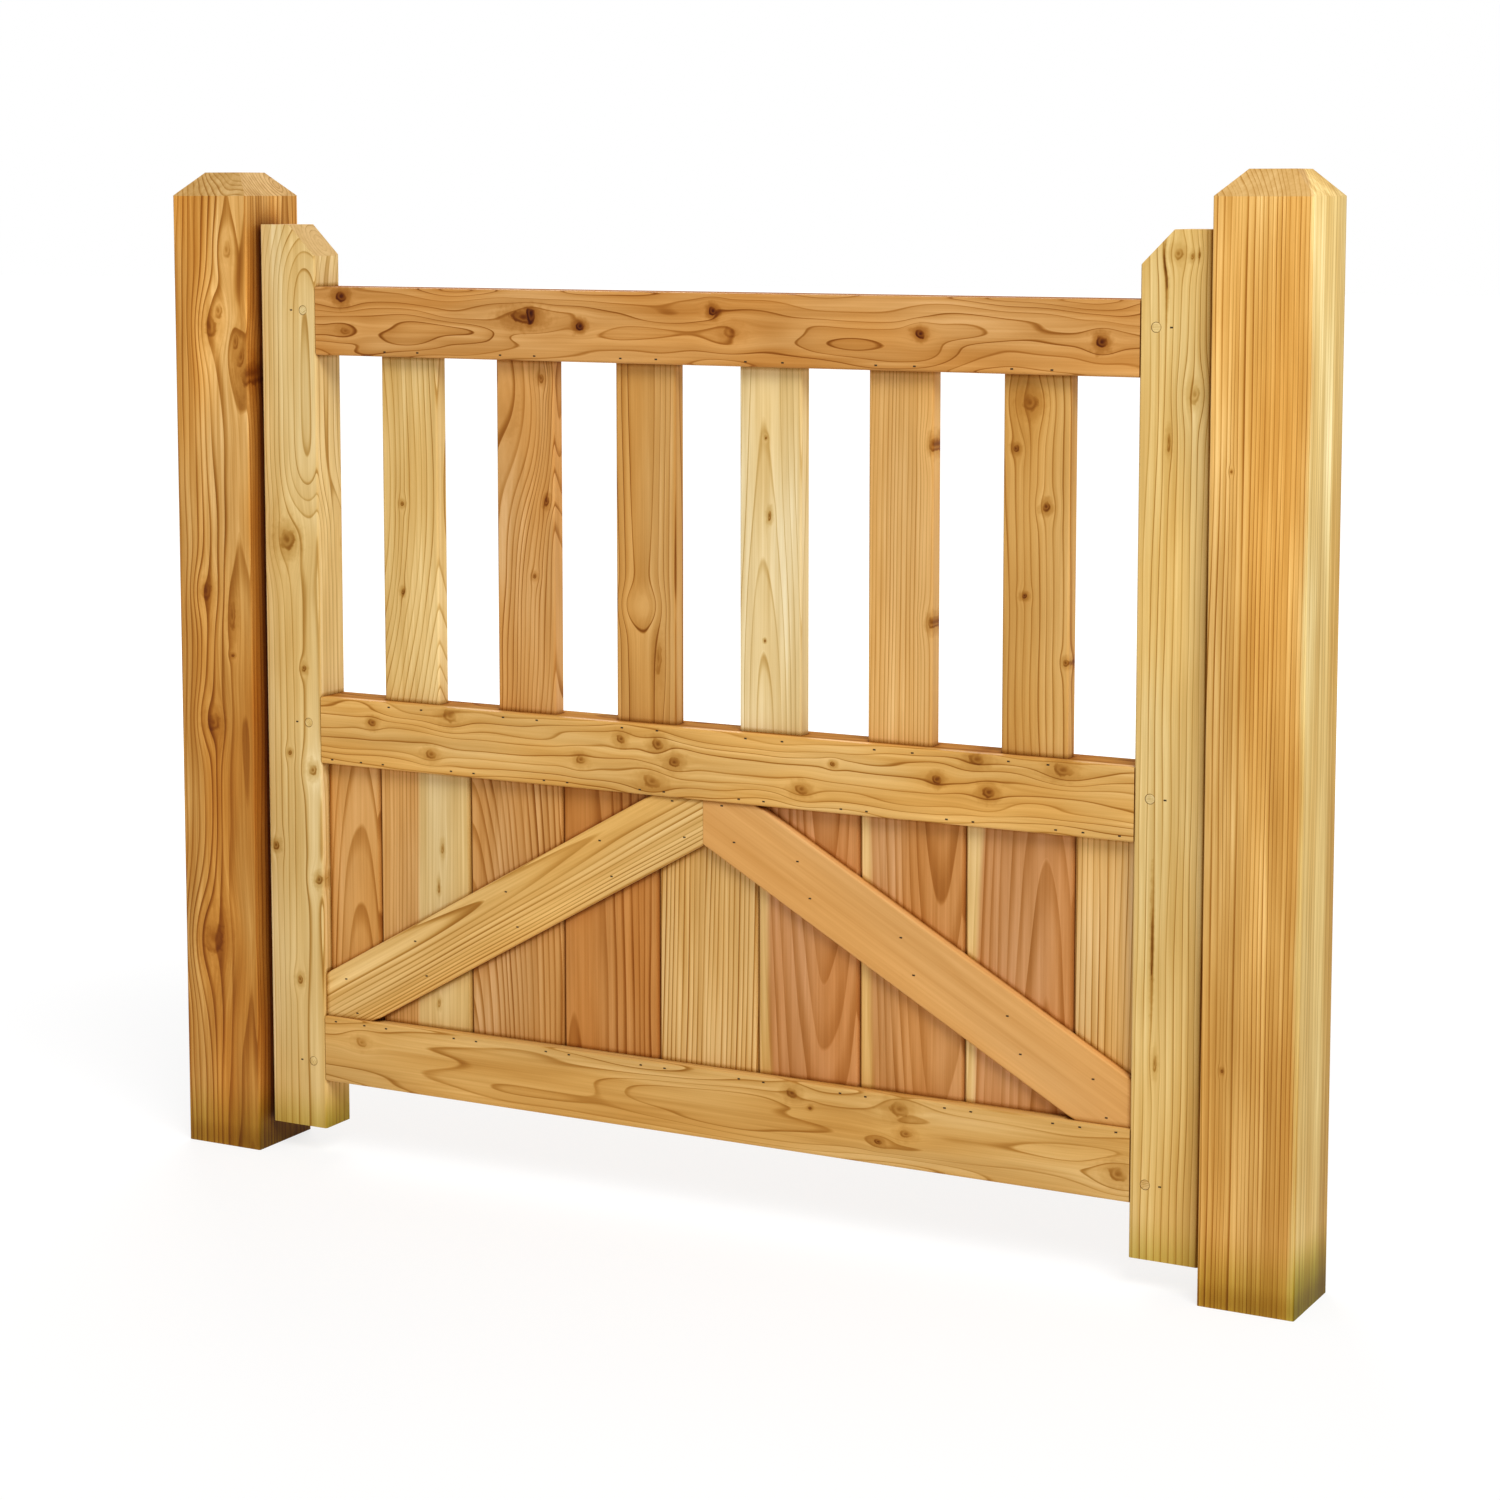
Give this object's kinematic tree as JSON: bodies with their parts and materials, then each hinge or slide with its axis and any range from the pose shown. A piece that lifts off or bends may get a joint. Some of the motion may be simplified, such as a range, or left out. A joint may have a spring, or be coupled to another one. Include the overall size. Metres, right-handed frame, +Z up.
{
  "type": "garden gate",
  "caption": "Low framed wooden garden gate: pickets over a braced, boarded panel, hung on butt hinges between square posts and closed by a sliding bolt.",
  "frame": {"origin": "middle of the gateway on the ground plane, at the feet of the two posts", "axes": "+X along the gate from the hinge post to the latch post, +Y from the braced front to the back, +Z up"},
  "size_m": [1.27, 0.095, 1.06],
  "materials": {
    "post_wood": "planed larch, oiled",
    "frame_wood": "planed larch, oiled",
    "picket_wood": "planed larch, oiled",
    "board_wood": "planed larch, oiled",
    "brace_wood": "planed larch, oiled",
    "peg_wood": "turned softwood dowel",
    "zinc_steel": "zinc plated, satin",
    "brad_steel": "dull bright steel"
  },
  "bodies": {
    "posts": {"hinge_post": "post_wood", "latch_post": "post_wood", "upper_hinge_post_leaf": "zinc_steel", "lower_hinge_post_leaf": "zinc_steel", "upper_hinge_pin": "zinc_steel", "lower_hinge_pin": "zinc_steel", "hinge_post_screws": "zinc_steel", "bolt_keep": "zinc_steel", "bolt_keep_screws": "zinc_steel"},
    "leaf": {"board_1": "board_wood", "board_2": "board_wood", "board_3": "board_wood", "board_4": "board_wood", "board_5": "board_wood", "board_6": "board_wood", "board_7": "board_wood", "board_8": "board_wood", "board_9": "board_wood", "board_pins": "brad_steel", "bolt_plate": "zinc_steel", "bolt_plate_screws": "zinc_steel", "bottom_rail": "frame_wood", "brace_left": "brace_wood", "brace_pins": "brad_steel", "brace_right": "brace_wood", "closing_stile": "frame_wood", "hanging_stile": "frame_wood", "hinge_gate_screws": "zinc_steel", "lower_hinge_gate_leaf": "zinc_steel", "middle_rail": "frame_wood", "picket_1": "picket_wood", "picket_2": "picket_wood", "picket_3": "picket_wood", "picket_4": "picket_wood", "picket_5": "picket_wood", "picket_6": "picket_wood", "picket_pins": "brad_steel", "tenon_pegs": "peg_wood", "tenon_pins": "brad_steel", "top_rail": "frame_wood", "upper_hinge_gate_leaf": "zinc_steel"},
    "bolt": {"bolt_bar": "zinc_steel"}
  },
  "joints": [
    {"name": "leaf_swing", "type": "hinge", "parent": "posts", "child": "leaf", "pos_m": [-0.5335, 0.022, 0], "axis": [0, 0, 1], "range_deg": [0, 110]},
    {"name": "bolt_slide", "type": "slide", "parent": "leaf", "child": "bolt", "axis": [1, 0, 0], "range_m": [0, 0.03]}
  ]
}
